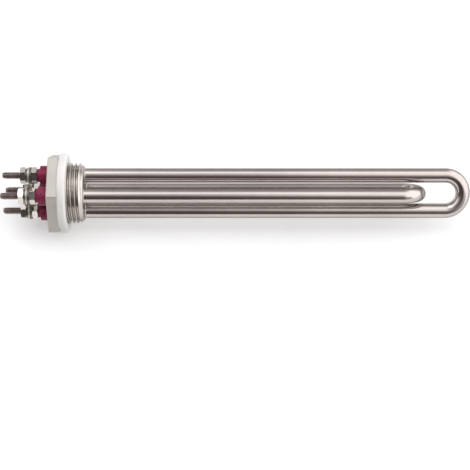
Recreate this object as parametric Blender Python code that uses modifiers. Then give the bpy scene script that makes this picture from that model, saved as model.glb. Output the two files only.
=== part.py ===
"""Screw plug immersion heater with two nested hairpin elements, lying on its side.

Everything hangs on the empty heater_axis. Along that axis, "along" is measured from the shoulder
of the hexagon, where the gasket seats: plus towards the hairpins' ends, minus towards the
terminals. Clock angles turn about the axis, from straight down towards +Y, the far side.
"""

import math

import bmesh
import bpy
from mathutils import Matrix

MM = 0.001

# Gaps between pieces
SEAT_GAP = 0.3 * MM
FASTENER_GAP = 0.15 * MM
STACK_GAP = 0.1 * MM
CLAMP_GAP = 0.3 * MM

# Screw plug: a one inch parallel pipe thread under a hexagon head
THREAD_MAJOR_DIAMETER = 33.249 * MM
THREAD_PITCH = 2.309 * MM
THREAD_FLANK_ANGLE = math.radians(55.0)
THREAD_DEPTH_SHARE = 0.640327
THREAD_FLAT_SHARE = 1.0 / 6.0
THREAD_CREST_ALONG = 10.86 * MM
THREAD_CREST_CLOCK = math.radians(120.0)
RIDGE_OVERLAP = 0.22 * MM
SHANK_LENGTH = 13.4 * MM
SHANK_END_STEP = 0.55 * MM
SHANK_CHAMFER_LENGTH = 2.6 * MM
RELIEF_LENGTH = 1.2 * MM
RELIEF_DEPTH = 0.25 * MM
HEXAGON_ACROSS_FLATS = 41.0 * MM
HEXAGON_THICKNESS = 5.6 * MM
HEXAGON_CORNER_CUT = 0.7 * MM
HEXAGON_CHAMFER_ANGLE = math.radians(30.0)
LEG_MARGIN = 1.0 * MM

# Sealing gasket
GASKET_BAND = 5.1 * MM
GASKET_THICKNESS = 4.1 * MM
GASKET_WET_ROUNDING = 1.3 * MM
GASKET_DRY_ROUNDING = 0.35 * MM

# Hairpin elements
SHEATH_DIAMETER = 8.0 * MM
SHEATH_WALL = 0.6 * MM
LONG_REACH = 226.0 * MM
SHORT_REACH = 201.5 * MM
SHEATH_STANDS_OUT = 3.0 * MM
COIL_DIAMETER = 3.2 * MM
SEAL_LENGTH = 6.0 * MM
SEAL_SET_BACK = 0.3 * MM
COLD_LENGTH = 45.0 * MM

# Terminals, from the hexagon's face outwards
BUSH_WALL = 1.15 * MM
BUSH_COLLAR_LENGTH = 5.1 * MM
BUSH_NOSE_DIAMETER = 7.4 * MM
BUSH_NOSE_LENGTH = 1.55 * MM
BUSH_ROUNDING = 0.4 * MM
STUD_DIAMETER = 3.9 * MM
STUD_TIP_CHAMFER = 0.5 * MM
STUD_TIP_CHAMFER_LENGTH = 0.7 * MM
STUD_FREE_LENGTH = 9.85 * MM
PIN_DIAMETER = 3.0 * MM
NUT_ACROSS_FLATS = 8.0 * MM
NUT_HEIGHT = 3.1 * MM
NUT_CORNER_CUT = 0.8 * MM
NUT_CHAMFER_ANGLE = math.radians(30.0)
FLAT_WASHER_DIAMETER = 9.4 * MM
FLAT_WASHER_THICKNESS = 0.8 * MM
SPRING_WASHER_DIAMETER = 7.8 * MM
SPRING_WASHER_THICKNESS = 0.8 * MM
SPRING_WASHER_SPLIT = math.radians(14.0)
SPRING_WASHER_RISE = 0.15 * MM

# Clock angles
LEG_CLOCK = math.radians(39.3)
HEXAGON_CORNER_CLOCK = math.radians(35.2)

# The terminals in order, each with the turn of its inner nut, its outer nut and its washer's split
TERMINALS = (
    ("far_upper", 1, 11.1, 9.1, 150.0),
    ("near_upper", 2, 57.1, 37.1, 20.0),
    ("near_lower", 3, 33.1, 22.1, 250.0),
    ("far_lower", 0, 20.1, 42.1, 80.0),
)

# Smoothness
SHEATH_BEVEL_RESOLUTION = 8
CORE_BEVEL_RESOLUTION = 2
SHEATH_BEND_STEPS = 16
CORE_BEND_STEPS = 10
SHANK_STEPS = 40
HOLE_STEPS = 20
GASKET_STEPS = 48
SMALL_STEPS = 18
ROUNDING_STEPS = 2
MERGE_DISTANCE = 0.01 * MM
SHARP_ANGLE = math.radians(35.0)
CUTTER_OVERRUN = 3.0 * MM
BLANK_MARGIN = 0.3 * MM

# What follows from the sizes above
CORNERS_PER_FLATS = 2.0 / math.sqrt(3.0)
HEXAGON_ACROSS_CORNERS = HEXAGON_ACROSS_FLATS * CORNERS_PER_FLATS
HEXAGON_FACE_DIAMETER = HEXAGON_ACROSS_CORNERS - 2 * HEXAGON_CORNER_CUT
HEXAGON_FACE = -HEXAGON_THICKNESS
THREAD_DEPTH = THREAD_DEPTH_SHARE * THREAD_PITCH
THREAD_ROOT_DIAMETER = THREAD_MAJOR_DIAMETER - 2 * THREAD_DEPTH
SHANK_END_DIAMETER = THREAD_ROOT_DIAMETER - 2 * SHANK_END_STEP
HOLE_DIAMETER = SHEATH_DIAMETER + 2 * SEAT_GAP
LEG_CIRCLE_DIAMETER = THREAD_ROOT_DIAMETER - 2 * LEG_MARGIN - HOLE_DIAMETER
GASKET_BORE = THREAD_MAJOR_DIAMETER + 2 * SEAT_GAP
GASKET_DIAMETER = GASKET_BORE + 2 * GASKET_BAND
SHEATH_END = HEXAGON_FACE - SHEATH_STANDS_OUT
CORE_BORE = max(COIL_DIAMETER, PIN_DIAMETER) + 2 * SEAT_GAP
CORE_DIAMETER = SHEATH_DIAMETER - 2 * SHEATH_WALL - 2 * SEAT_GAP
BUSH_START = HEXAGON_FACE - SEAT_GAP
BUSH_STEP = BUSH_START - BUSH_COLLAR_LENGTH
BUSH_END = BUSH_STEP - BUSH_NOSE_LENGTH
BUSH_COLLAR_DIAMETER = SHEATH_DIAMETER + 2 * SEAT_GAP + 2 * BUSH_WALL
BUSH_BORE = STUD_DIAMETER + 2 * SEAT_GAP
STUD_TIP_DIAMETER = STUD_DIAMETER - 2 * STUD_TIP_CHAMFER
NUT_ACROSS_CORNERS = NUT_ACROSS_FLATS * CORNERS_PER_FLATS
NUT_FACE_DIAMETER = NUT_ACROSS_CORNERS - 2 * NUT_CORNER_CUT
INNER_NUT_START = BUSH_END - STACK_GAP
INNER_WASHER_START = INNER_NUT_START - NUT_HEIGHT - STACK_GAP
OUTER_WASHER_START = INNER_WASHER_START - FLAT_WASHER_THICKNESS - CLAMP_GAP
SPRING_WASHER_START = OUTER_WASHER_START - FLAT_WASHER_THICKNESS - STACK_GAP
OUTER_NUT_START = SPRING_WASHER_START - SPRING_WASHER_THICKNESS - SPRING_WASHER_RISE - STACK_GAP
OUTER_NUT_END = OUTER_NUT_START - NUT_HEIGHT
STUD_TIP = OUTER_NUT_END - STUD_FREE_LENGTH
MIDDLE = (LONG_REACH + STUD_TIP) / 2


def remove_scene_objects():
    for old in list(bpy.data.objects):
        bpy.data.objects.remove(old, do_unlink=True)


def new_collection(name):
    collection = bpy.data.collections.new(name)
    bpy.context.scene.collection.children.link(collection)
    return collection


def new_material(name, colour, roughness, metallic):
    """A Principled material of one colour."""
    material = bpy.data.materials.new(name)
    material.use_nodes = True
    shader = material.node_tree.nodes["Principled BSDF"]
    shader.inputs["Base Color"].default_value = (*colour, 1.0)
    shader.inputs["Roughness"].default_value = roughness
    shader.inputs["Metallic"].default_value = metallic
    return material


def new_object(name, data, collection, material=None):
    obj = bpy.data.objects.new(name, data)
    collection.objects.link(obj)
    if material:
        data.materials.append(material)
    return obj


def place(obj, parent, x=0.0, y=0.0, along=0.0, clock=0.0):
    """Hangs an object on its parent, at a point of the parent's frame, turned about its axis."""
    obj.parent = parent
    obj.location = (x, y, along)
    obj.rotation_euler = (0.0, 0.0, clock)


def rounded(corner, back, onward, radius):
    """The quarter arc that replaces a square corner of an outline.

    back points along the side that arrives at the corner, onward along the side that leaves it.
    """
    centre = [corner[i] + radius * (back[i] + onward[i]) for i in range(2)]
    points = []
    for step in range(ROUNDING_STEPS + 1):
        turn = math.pi / 2 * step / ROUNDING_STEPS
        points.append([
            centre[i] - radius * (onward[i] * math.cos(turn) + back[i] * math.sin(turn))
            for i in range(2)
        ])
    return points


def turned(name, outline, steps, collection, material=None, closed=True):
    """A profile of (radius, along) points turned about Z; its outer side runs towards -Z."""
    count = len(outline)
    edges = [(i, i + 1) for i in range(count - 1)]
    if closed:
        edges.append((count - 1, 0))
    mesh = bpy.data.meshes.new(name)
    mesh.from_pydata([(radius, 0.0, along) for radius, along in outline], edges, [])
    obj = new_object(name, mesh, collection, material)
    screw = obj.modifiers.new("turn", "SCREW")
    screw.axis = "Z"
    screw.angle = math.tau
    screw.steps = screw.render_steps = steps
    screw.use_merge_vertices = True
    screw.merge_threshold = MERGE_DISTANCE
    return obj


def prism(name, sides, diameter, low, high, collection):
    """A prism between two places along the axis, with a corner at clock angle zero."""
    form = bmesh.new()
    lift = Matrix.Translation((0.0, 0.0, (low + high) / 2))
    turn = Matrix.Rotation(math.pi / 2, 4, "Z")
    bmesh.ops.create_cone(
        form,
        cap_ends=True,
        segments=sides,
        radius1=diameter / 2,
        radius2=diameter / 2,
        depth=high - low,
        matrix=lift @ turn,
    )
    mesh = bpy.data.meshes.new(name)
    form.to_mesh(mesh)
    form.free()
    return new_object(name, mesh, collection)


def swept_section(name, section, angle, steps, rise, collection, material=None):
    """A closed section of (radius, along) points swept round Z while it rises, with end faces."""
    form = bmesh.new()
    corners = [form.verts.new((radius, 0.0, along)) for radius, along in section]
    face = form.faces.new(corners)
    bmesh.ops.spin(
        form,
        geom=[face, *face.edges, *corners],
        cent=(0.0, 0.0, 0.0),
        axis=(0.0, 0.0, 1.0),
        dvec=(0.0, 0.0, rise / steps),
        angle=angle,
        steps=steps,
        use_duplicate=False,
    )
    bmesh.ops.recalc_face_normals(form, faces=form.faces)
    mesh = bpy.data.meshes.new(name)
    form.to_mesh(mesh)
    form.free()
    return new_object(name, mesh, collection, material)


def combine(obj, other, operation):
    """A live Boolean with a guide object, which is drawn as wires and left out of the model."""
    cut = obj.modifiers.new(other.name, "BOOLEAN")
    cut.operation = operation
    cut.solver = "EXACT"
    cut.object = other
    other.display_type = "WIRE"
    other.hide_render = True


def finished_mesh(obj, name):
    """The object's mesh with its modifiers worked in, for pieces that are repeated."""
    graph = bpy.context.evaluated_depsgraph_get()
    mesh = bpy.data.meshes.new_from_object(obj.evaluated_get(graph))
    mesh.name = name
    bpy.data.objects.remove(obj, do_unlink=True)
    return mesh


def thread_ridge(parent, guides):
    """The raised turn of the thread: one flank-to-flank section swept up a right-hand helix."""
    crest = THREAD_MAJOR_DIAMETER / 2
    foot = THREAD_ROOT_DIAMETER / 2 - RIDGE_OVERLAP
    slope = math.tan(THREAD_FLANK_ANGLE / 2)
    half_crest = THREAD_PITCH * THREAD_FLAT_SHARE / 2
    half_foot = half_crest + (crest - foot) * slope
    start = RELIEF_LENGTH + THREAD_PITCH / 2
    turns = (SHANK_LENGTH + THREAD_PITCH - start) / THREAD_PITCH
    steps = round(turns * SHANK_STEPS)
    section = [
        (foot, -half_foot),
        (crest, -half_crest),
        (crest, half_crest),
        (foot, half_foot),
    ]
    ridge = swept_section(
        "thread_ridge", section, math.tau * turns, steps, THREAD_PITCH * turns, guides
    )
    clock = THREAD_CREST_CLOCK - math.tau * (THREAD_CREST_ALONG - start) / THREAD_PITCH
    place(ridge, parent, along=start, clock=clock)
    return ridge


def screw_plug(parent, part, guides, material):
    """Shank with its thread, cut to the end chamfer, joined to the hexagon and drilled for the legs."""
    inside_head = HEXAGON_FACE / 2
    crest = THREAD_MAJOR_DIAMETER / 2
    root = THREAD_ROOT_DIAMETER / 2
    shank_outline = [
        (0.0, SHANK_LENGTH + CUTTER_OVERRUN),
        (root, SHANK_LENGTH + CUTTER_OVERRUN),
        (root, RELIEF_LENGTH),
        (root - RELIEF_DEPTH, RELIEF_LENGTH),
        (root - RELIEF_DEPTH, inside_head),
        (0.0, inside_head),
    ]
    plug = turned("screw_plug", shank_outline, SHANK_STEPS, part, material, closed=False)
    place(plug, parent)
    combine(plug, thread_ridge(parent, guides), "UNION")

    reach = crest + BLANK_MARGIN
    slope = (crest - SHANK_END_DIAMETER / 2) / SHANK_CHAMFER_LENGTH
    chamfer_start = SHANK_LENGTH - (reach - SHANK_END_DIAMETER / 2) / slope
    envelope_outline = [
        (0.0, SHANK_LENGTH),
        (SHANK_END_DIAMETER / 2, SHANK_LENGTH),
        (reach, chamfer_start),
        (reach, HEXAGON_FACE),
        (0.0, HEXAGON_FACE),
    ]
    envelope = turned("shank_envelope", envelope_outline, SHANK_STEPS, guides, closed=False)
    place(envelope, parent, clock=math.pi / SHANK_STEPS)
    combine(plug, envelope, "INTERSECT")

    head = prism("hexagon_head", 6, HEXAGON_ACROSS_CORNERS, HEXAGON_FACE, 0.0, guides)
    place(head, parent, clock=HEXAGON_CORNER_CLOCK)
    corner = HEXAGON_ACROSS_CORNERS / 2 + BLANK_MARGIN
    drop = (corner - HEXAGON_FACE_DIAMETER / 2) * math.tan(HEXAGON_CHAMFER_ANGLE)
    rounding_outline = [
        (0.0, CUTTER_OVERRUN),
        (corner, CUTTER_OVERRUN),
        (corner, HEXAGON_FACE + drop),
        (HEXAGON_FACE_DIAMETER / 2, HEXAGON_FACE),
        (0.0, HEXAGON_FACE),
    ]
    rounding = turned("hexagon_rounding", rounding_outline, SHANK_STEPS, guides, closed=False)
    place(rounding, parent, clock=HEXAGON_CORNER_CLOCK + math.pi / SHANK_STEPS)
    combine(head, rounding, "INTERSECT")
    combine(plug, head, "UNION")

    radius = LEG_CIRCLE_DIAMETER / 2
    low = HEXAGON_FACE - CUTTER_OVERRUN
    high = SHANK_LENGTH + CUTTER_OVERRUN
    for index in range(len(TERMINALS)):
        hole = prism(f"leg_hole_{index}", HOLE_STEPS, HOLE_DIAMETER, low, high, guides)
        clock = LEG_CLOCK + index * math.pi / 2
        place(hole, parent, radius * math.cos(clock), radius * math.sin(clock))
        combine(plug, hole, "DIFFERENCE")


def sealing_gasket(parent, part, material):
    """A thick ring, rounded more on the side that presses on the tank's boss."""
    outer = GASKET_DIAMETER / 2
    inner = GASKET_BORE / 2
    high = SEAT_GAP + GASKET_THICKNESS
    outline = [
        *rounded((outer, high), (-1, 0), (0, -1), GASKET_WET_ROUNDING),
        *rounded((outer, SEAT_GAP), (0, 1), (-1, 0), GASKET_DRY_ROUNDING),
        (inner, SEAT_GAP),
        (inner, high),
    ]
    gasket = turned("sealing_gasket", outline, GASKET_STEPS, part, material)
    place(gasket, parent)


def hairpin(name, parent, clock, start, reach, diameter, smoothness, part, material, wall=0.0):
    """A tube or rod along a hairpin: up one leg, round the half-circle bend and back down the other.

    reach is how far the sheath's outside comes, so every core shares its sheath's centre line.
    A wall makes it a tube with open ends; without one its ends are capped. smoothness is the
    bevel resolution round the tube and the number of steps round the bend.
    """
    resolution, bend_steps = smoothness
    radius = LEG_CIRCLE_DIAMETER / 2
    bend_centre = reach - radius - SHEATH_DIAMETER / 2
    points = [(radius, start)]
    for i in range(bend_steps + 1):
        turn = math.pi * i / bend_steps
        points.append((radius * math.cos(turn), bend_centre + radius * math.sin(turn)))
    points.append((-radius, start))

    curve = bpy.data.curves.new(name, "CURVE")
    curve.dimensions = "3D"
    curve.bevel_depth = diameter / 2
    curve.bevel_resolution = resolution
    curve.use_fill_caps = not wall
    spline = curve.splines.new("POLY")
    spline.points.add(len(points) - 1)
    for point, (x, along) in zip(spline.points, points):
        point.co = (x, 0.0, along, 1.0)

    obj = new_object(name, curve, part, material)
    place(obj, parent, clock=clock)
    if wall:
        shell = obj.modifiers.new("wall", "SOLIDIFY")
        shell.thickness = wall
        shell.offset = -1.0
    return obj


def insulating_bush(part, material):
    """A stepped bush: its collar slips over the sheath's end, its nose carries the inner nut."""
    collar = BUSH_COLLAR_DIAMETER / 2
    nose = BUSH_NOSE_DIAMETER / 2
    socket = SHEATH_DIAMETER / 2 + SEAT_GAP
    socket_end = SHEATH_END - SEAT_GAP
    outline = [
        (collar, BUSH_START),
        *rounded((collar, BUSH_STEP), (0, 1), (-1, 0), BUSH_ROUNDING),
        (nose, BUSH_STEP),
        *rounded((nose, BUSH_END), (0, 1), (-1, 0), BUSH_ROUNDING),
        (BUSH_BORE / 2, BUSH_END),
        (BUSH_BORE / 2, socket_end),
        (socket, socket_end),
        (socket, BUSH_START),
    ]
    return turned("insulating_bush", outline, SMALL_STEPS, part, material)


def terminal_stud(part, material):
    """A threaded rod outside, necked down to the cold pin that reaches the coil inside."""
    stud = STUD_DIAMETER / 2
    pin = PIN_DIAMETER / 2
    neck = SHEATH_END - 2 * SEAT_GAP
    outline = [
        (0.0, COLD_LENGTH),
        (pin, COLD_LENGTH),
        (pin, neck),
        (stud, neck),
        (stud, STUD_TIP + STUD_TIP_CHAMFER_LENGTH),
        (STUD_TIP_DIAMETER / 2, STUD_TIP),
        (0.0, STUD_TIP),
    ]
    return turned("terminal_stud", outline, SMALL_STEPS, part, material, closed=False)


def end_seal(part, material):
    """The plug of sealant between the cold pin and the sheath, at the sheath's end."""
    low = SHEATH_END + SEAL_SET_BACK
    high = low + SEAL_LENGTH
    bore = PIN_DIAMETER / 2 + SEAT_GAP
    outline = [(CORE_DIAMETER / 2, high), (CORE_DIAMETER / 2, low), (bore, low), (bore, high)]
    return turned("end_seal", outline, SMALL_STEPS, part, material)


def nut_mesh(part, guides, material):
    """A plain hexagon nut with both ends chamfered; its top face is at zero."""
    nut = prism("nut_prism", 6, NUT_ACROSS_CORNERS, -NUT_HEIGHT, 0.0, part)
    nut.data.materials.append(material)
    corner = NUT_ACROSS_CORNERS / 2 + BLANK_MARGIN
    face = NUT_FACE_DIAMETER / 2
    drop = (corner - face) * math.tan(NUT_CHAMFER_ANGLE)
    bore = STUD_DIAMETER / 2 + FASTENER_GAP
    outline = [
        (face, 0.0),
        (corner, -drop),
        (corner, drop - NUT_HEIGHT),
        (face, -NUT_HEIGHT),
        (bore, -NUT_HEIGHT),
        (bore, 0.0),
    ]
    blank = turned("nut_blank", outline, SMALL_STEPS, guides)
    blank.rotation_euler = (0.0, 0.0, math.pi / SMALL_STEPS)
    combine(nut, blank, "INTERSECT")
    mesh = finished_mesh(nut, "hexagon_nut")
    bpy.data.objects.remove(blank, do_unlink=True)
    return mesh


def flat_washer(part, material):
    """A plain ring whose top face is at zero."""
    outer = FLAT_WASHER_DIAMETER / 2
    bore = STUD_DIAMETER / 2 + FASTENER_GAP
    outline = [
        (outer, 0.0),
        (outer, -FLAT_WASHER_THICKNESS),
        (bore, -FLAT_WASHER_THICKNESS),
        (bore, 0.0),
    ]
    return turned("flat_washer", outline, SMALL_STEPS, part, material)


def spring_washer(part, material):
    """A split ring, its two ends a little apart along the axis; its top face is at zero."""
    outer = SPRING_WASHER_DIAMETER / 2
    bore = STUD_DIAMETER / 2 + FASTENER_GAP
    low = -SPRING_WASHER_THICKNESS - SPRING_WASHER_RISE
    high = -SPRING_WASHER_RISE
    section = [(bore, low), (outer, low), (outer, high), (bore, high)]
    return swept_section(
        "spring_washer",
        section,
        math.tau - SPRING_WASHER_SPLIT,
        SMALL_STEPS,
        SPRING_WASHER_RISE,
        part,
        material,
    )


def copy_to(first, name, parent, along, clock, part):
    """A repeated piece: the same mesh and modifiers under its own name, on one leg's axis."""
    copy = first.copy()
    copy.name = name
    part.objects.link(copy)
    place(copy, parent, along=along, clock=clock)


def terminals(parent, part, guides, materials):
    """The four terminals: each has its own empty on its leg's axis, and the same eight pieces."""
    bush = insulating_bush(part, materials["bush"])
    stud = terminal_stud(part, materials["stud"])
    seal = end_seal(part, materials["seal"])
    nut = new_object("hexagon_nut", nut_mesh(part, guides, materials["nut"]), part)
    washer = flat_washer(part, materials["washer"])
    spring = spring_washer(part, materials["washer"])
    radius = LEG_CIRCLE_DIAMETER / 2
    for place_name, quarter, inner_turn, outer_turn, split_turn in TERMINALS:
        clock = LEG_CLOCK + quarter * math.pi / 2
        axis = bpy.data.objects.new(f"terminal_axis_{place_name}", None)
        part.objects.link(axis)
        place(axis, parent, radius * math.cos(clock), radius * math.sin(clock))
        inner = math.radians(inner_turn)
        outer = math.radians(outer_turn)
        split = math.radians(split_turn)
        copy_to(bush, f"insulating_bush_{place_name}", axis, 0.0, clock, part)
        copy_to(stud, f"terminal_stud_{place_name}", axis, 0.0, clock, part)
        copy_to(seal, f"end_seal_{place_name}", axis, 0.0, clock, part)
        copy_to(nut, f"inner_nut_{place_name}", axis, INNER_NUT_START, inner, part)
        copy_to(washer, f"inner_washer_{place_name}", axis, INNER_WASHER_START, inner, part)
        copy_to(washer, f"outer_washer_{place_name}", axis, OUTER_WASHER_START, outer, part)
        copy_to(spring, f"spring_washer_{place_name}", axis, SPRING_WASHER_START, split, part)
        copy_to(nut, f"outer_nut_{place_name}", axis, OUTER_NUT_START, outer, part)
    for first in (bush, stud, seal, nut, washer, spring):
        bpy.data.objects.remove(first, do_unlink=True)


def elements(parent, part, materials):
    """The two hairpins: each a sheath, its magnesia and its coil, on one centre line."""
    for length, clock, reach in (
        ("long", LEG_CLOCK + math.pi / 2, LONG_REACH),
        ("short", LEG_CLOCK, SHORT_REACH),
    ):
        hairpin(
            f"{length}_hairpin_sheath",
            parent,
            clock,
            SHEATH_END,
            reach,
            SHEATH_DIAMETER,
            (SHEATH_BEVEL_RESOLUTION, SHEATH_BEND_STEPS),
            part,
            materials["sheath"],
            wall=SHEATH_WALL,
        )
        hairpin(
            f"{length}_magnesia_filler",
            parent,
            clock,
            SHEATH_END + SEAL_SET_BACK + SEAL_LENGTH + SEAT_GAP,
            reach,
            CORE_DIAMETER,
            (CORE_BEVEL_RESOLUTION, CORE_BEND_STEPS),
            part,
            materials["magnesia"],
            wall=(CORE_DIAMETER - CORE_BORE) / 2,
        )
        hairpin(
            f"{length}_resistance_coil",
            parent,
            clock,
            COLD_LENGTH + SEAT_GAP,
            reach,
            COIL_DIAMETER,
            (CORE_BEVEL_RESOLUTION, CORE_BEND_STEPS),
            part,
            materials["coil"],
        )


def keep_sharp_edges(part):
    """Round surfaces are shaded smooth, and their sharp edges kept."""
    for obj in part.objects:
        if obj.type == "EMPTY":
            continue
        sharp = obj.modifiers.new("sharp_edges", "EDGE_SPLIT")
        sharp.use_edge_sharp = False
        sharp.split_angle = SHARP_ANGLE
        if obj.type == "MESH":
            obj.data.shade_smooth()


def main():
    remove_scene_objects()
    part = new_collection("screw_plug_immersion_heater")
    guides = new_collection("guides")
    materials = {
        "plug": new_material("satin_steel", (0.60, 0.57, 0.54), 0.32, 1.0),
        "sheath": new_material("polished_sheath_steel", (0.58, 0.55, 0.53), 0.22, 1.0),
        "gasket": new_material("white_silicone", (0.87, 0.86, 0.84), 0.55, 0.0),
        "bush": new_material("burgundy_resin", (0.26, 0.05, 0.11), 0.45, 0.0),
        "stud": new_material("dark_stud_steel", (0.16, 0.13, 0.12), 0.35, 1.0),
        "nut": new_material("bright_nut_steel", (0.62, 0.58, 0.54), 0.25, 1.0),
        "washer": new_material("bright_washer_steel", (0.50, 0.47, 0.44), 0.28, 1.0),
        "seal": new_material("cream_sealant", (0.62, 0.55, 0.42), 0.60, 0.0),
        "magnesia": new_material("white_magnesia", (0.80, 0.79, 0.75), 0.90, 0.0),
        "coil": new_material("nickel_chrome", (0.30, 0.28, 0.26), 0.40, 1.0),
    }
    axis = bpy.data.objects.new("heater_axis", None)
    part.objects.link(axis)
    axis.location = (-MIDDLE, 0.0, 0.0)
    axis.rotation_euler = (0.0, math.pi / 2, 0.0)

    screw_plug(axis, part, guides, materials["plug"])
    sealing_gasket(axis, part, materials["gasket"])
    elements(axis, part, materials)
    terminals(axis, part, guides, materials)
    keep_sharp_edges(part)


main()
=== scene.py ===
"""Looks of the screw plug immersion heater: fine surfaces, finishes, floor, light and camera.

The heater lies along X. A clock angle turns about its axis, or about a leg's axis, from straight
down towards +Y. "Along" is measured along the axis from the hexagon's shoulder, where the gasket
seats, plus towards the hairpins' ends.
"""

import math

import bpy
import numpy as np
from mathutils import Matrix, Vector


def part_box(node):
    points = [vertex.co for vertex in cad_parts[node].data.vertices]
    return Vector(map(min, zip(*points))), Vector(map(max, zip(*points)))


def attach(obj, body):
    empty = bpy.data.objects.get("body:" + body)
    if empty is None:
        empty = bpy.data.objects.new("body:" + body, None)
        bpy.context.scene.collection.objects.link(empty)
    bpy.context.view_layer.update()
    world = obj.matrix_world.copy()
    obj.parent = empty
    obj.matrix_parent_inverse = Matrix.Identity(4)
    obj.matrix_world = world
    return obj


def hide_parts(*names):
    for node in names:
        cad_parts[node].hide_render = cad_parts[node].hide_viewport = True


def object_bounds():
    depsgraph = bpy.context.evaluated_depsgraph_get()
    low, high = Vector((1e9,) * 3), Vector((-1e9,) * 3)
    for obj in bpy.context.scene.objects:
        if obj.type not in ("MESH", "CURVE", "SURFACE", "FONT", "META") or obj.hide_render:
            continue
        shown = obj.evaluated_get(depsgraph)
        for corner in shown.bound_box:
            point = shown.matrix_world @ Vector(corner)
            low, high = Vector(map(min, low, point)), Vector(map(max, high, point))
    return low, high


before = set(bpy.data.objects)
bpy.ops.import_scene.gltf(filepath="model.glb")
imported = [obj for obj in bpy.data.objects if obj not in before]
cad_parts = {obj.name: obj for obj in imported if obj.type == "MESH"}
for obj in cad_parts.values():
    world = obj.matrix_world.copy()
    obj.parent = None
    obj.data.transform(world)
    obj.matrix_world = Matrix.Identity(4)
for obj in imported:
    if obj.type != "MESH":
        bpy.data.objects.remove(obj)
cad_low, cad_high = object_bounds()

MM = 0.001
BODY = "root"
SAME_PLACE = 0.001 * MM
PLACES = ("far_upper", "near_upper", "near_lower", "far_lower")
HAIRPINS = {"long": ("far_upper", "near_lower"), "short": ("near_upper", "far_lower")}

# The gap that the solids keep at a seat, and that the fine surfaces close
SEAT_GAP = 0.3 * MM

# Screw plug
HEXAGON_ACROSS_FLATS = 41.0 * MM
HEXAGON_CORNER_CUT = 0.7 * MM
HEXAGON_EDGE_BREAK = 0.4 * MM
SHOULDER_EDGE_BREAK = 0.2 * MM
HEXAGON_CORNER_ROUND = 0.22 * MM
CHAMFER_ANGLE = math.radians(30.0)
THREAD_MAJOR = 33.249 * MM
THREAD_PITCH = 2.309 * MM
THREAD_DEPTH = 1.4785 * MM
THREAD_HALF_ANGLE = math.radians(27.5)
THREAD_CREST_ALONG = 10.86 * MM
THREAD_CREST_CLOCK = math.radians(120.0)
RELIEF_LENGTH = 1.2 * MM
RELIEF_DEPTH = 0.25 * MM
RELIEF_SLOPE = 2.4
SHANK_END_STEP = 0.55 * MM
SHANK_CHAMFER_LENGTH = 2.6 * MM
SHANK_END_ROUND = 0.15 * MM
SHANK_FACE_RING = 0.6
BRAZE_FILLET = 0.7 * MM
BRAZE_OVERLAP = 0.1 * MM

# Gasket
GASKET_WET_ROUNDING = 1.3 * MM
GASKET_DRY_ROUNDING = 0.35 * MM
GASKET_BORE_ROUNDING = 0.3 * MM
GASKET_BULGE = 0.12 * MM
GASKET_GRIP = 0.15 * MM

# Hairpins
SHEATH_DIAMETER = 8.0 * MM
SHEATH_WALL = 0.6 * MM
BEND_OVALITY = 0.012

# Terminals
BUSH_NOSE_DIAMETER = 7.4 * MM
BUSH_NOSE_LENGTH = 1.55 * MM
BUSH_COLLAR_ROUNDING = 0.5 * MM
BUSH_NOSE_ROUNDING = 0.4 * MM
BUSH_STEP_SPLIT = 0.0001 * MM
BUSH_BORE = 4.5 * MM
BUSH_SOCKET_DIAMETER = 8.6 * MM
STUD_DIAMETER = 3.9 * MM
STUD_PITCH = 0.7 * MM
STUD_THREAD_DEPTH = 0.38 * MM
STUD_THREAD_HALF_ANGLE = math.radians(30.0)
STUD_TIP_LENGTH = 2.2 * MM
STUD_TIP_FALL = 0.62 * MM
STUD_TIP_POWER = 1.5
PIN_DIAMETER = 3.0 * MM
PIN_NECK = 0.6 * MM
PIN_START = 1.0 * MM
SHEATH_STANDS_OUT = 3.0 * MM
NUT_ACROSS_FLATS = 8.0 * MM
NUT_CORNER_CUT = 0.62 * MM
NUT_CORNER_ROUND = 0.12 * MM
NUT_EDGE_BREAK = 0.06 * MM
NUT_BORE = 3.95 * MM
NUT_COUNTERSINK = 0.3 * MM
WASHER_BORE = 4.2 * MM
WASHER_EDGE_ROUND = 0.12 * MM
SPRING_WASHER_SPLIT = math.radians(14.0)
SPRING_WASHER_RISE = 0.15 * MM
SPRING_WASHER_EDGE_ROUND = 0.1 * MM

# How finely the surfaces are divided: round an axis, and along it
SHANK_STEPS = 240
SHANK_ROW_PITCH = 0.075 * MM
STUD_STEPS = 48
STUD_ROW_PITCH = 0.07 * MM
SHEATH_STEPS = 72
LEG_ROWS = 60
BEND_ROWS = 90
GASKET_STEPS = 180
BUSH_STEPS = 72
BRAZE_STEPS = 56
WASHER_STEPS = 80
CONE_OVERRUN = 1.06

# The camera, fitted to the photograph, which is square
PHOTO_SIDE = 470
PHOTO_PIXEL = 0.5526 * MM
SENSOR = 36.0
CAMERA_ELEVATION = math.radians(61.52)
CAMERA_DISTANCE = 797.0 * MM
CAMERA_ALONG = 96.21 * MM
CAMERA_DROP = 23.16 * MM
VIEW_WIDTH = PHOTO_SIDE * PHOTO_PIXEL

# Floor and fill lamp, in metres and watts
FLOOR_HALF_SIDE = 3.0
FLOOR_GAP = 0.05 * MM
FLOOR_TONES = ((0.69, 0.69, 0.69), (0.72, 0.72, 0.72))
FLOOR_LIFT = 0.30
LAMP_PLACE = (0.0, -0.25, 1.3)
LAMP_SIZE = (1.6, 1.2)
LAMP_POWER = 3.0

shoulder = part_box("sealing_gasket")[0].x - SEAT_GAP
head_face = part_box("screw_plug")[0].x - shoulder
shank_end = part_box("screw_plug")[1].x - shoulder


def along_of(node):
    """The node's lowest and highest place along the axis, measured from the shoulder."""
    low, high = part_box(node)
    return low.x - shoulder, high.x - shoulder


def axis_of(node):
    """The (y, z) centre of a turned node's box, which lies on its axis."""
    low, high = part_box(node)
    return np.array([(low.y + high.y) / 2, (low.z + high.z) / 2])


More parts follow.
